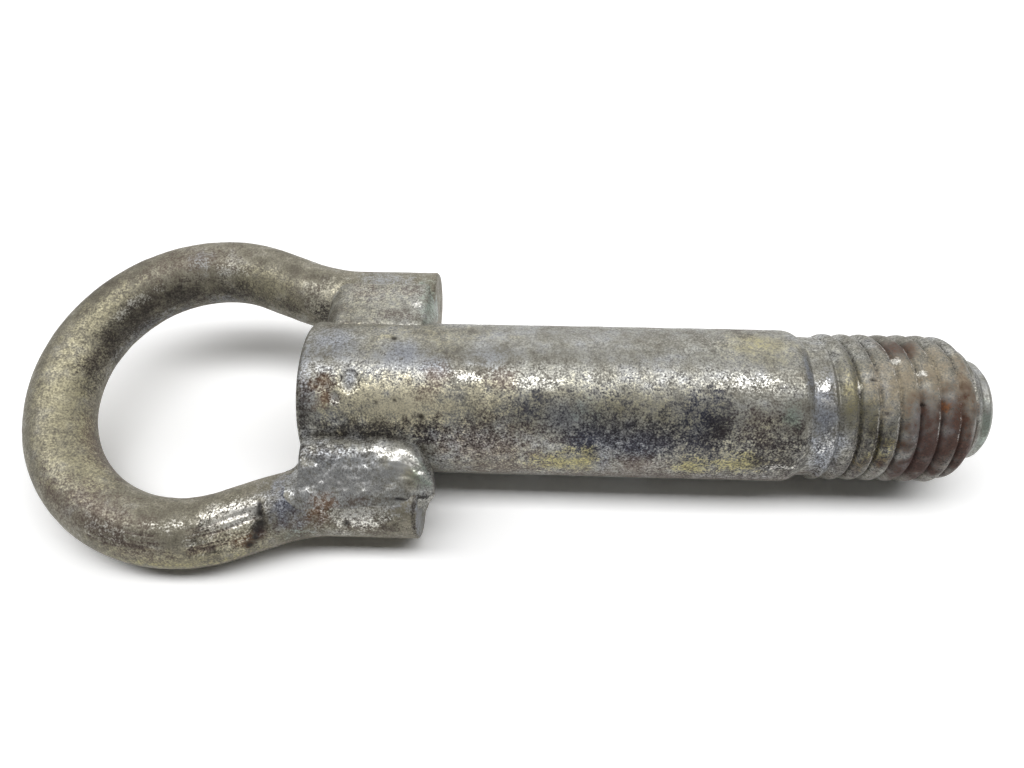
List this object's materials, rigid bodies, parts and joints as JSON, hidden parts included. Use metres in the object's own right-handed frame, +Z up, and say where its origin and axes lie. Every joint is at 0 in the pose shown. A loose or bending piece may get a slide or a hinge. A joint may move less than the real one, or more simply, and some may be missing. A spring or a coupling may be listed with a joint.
{
  "type": "screw-in tow eye",
  "caption": "Weathered steel tow eye: a plain round bar with a coarse threaded end, and a bent rod loop welded along the sides of its other end.",
  "frame": {"origin": "on the bar's axis where the neck before the thread begins", "axes": "+X along the bar's axis towards the threaded end, +Z up from the ground the part lies on, the loop's raised side at +Y"},
  "size_m": [0.1571, 0.0574, 0.025],
  "materials": {
    "bar_steel": "dull weathered zinc plating, pitted, grit and rust in the thread",
    "rod_steel": "dull weathered zinc plating, scraped bright in places, rusty inside the eye",
    "weld_metal": "plated weld metal, smoother than the bar"
  },
  "bodies": {
    "root": {"shank": "bar_steel", "eye_loop": "rod_steel", "weld_far_top": "weld_metal", "weld_far_under": "weld_metal", "weld_near_top": "weld_metal", "weld_near_under": "weld_metal"}
  },
  "joints": []
}
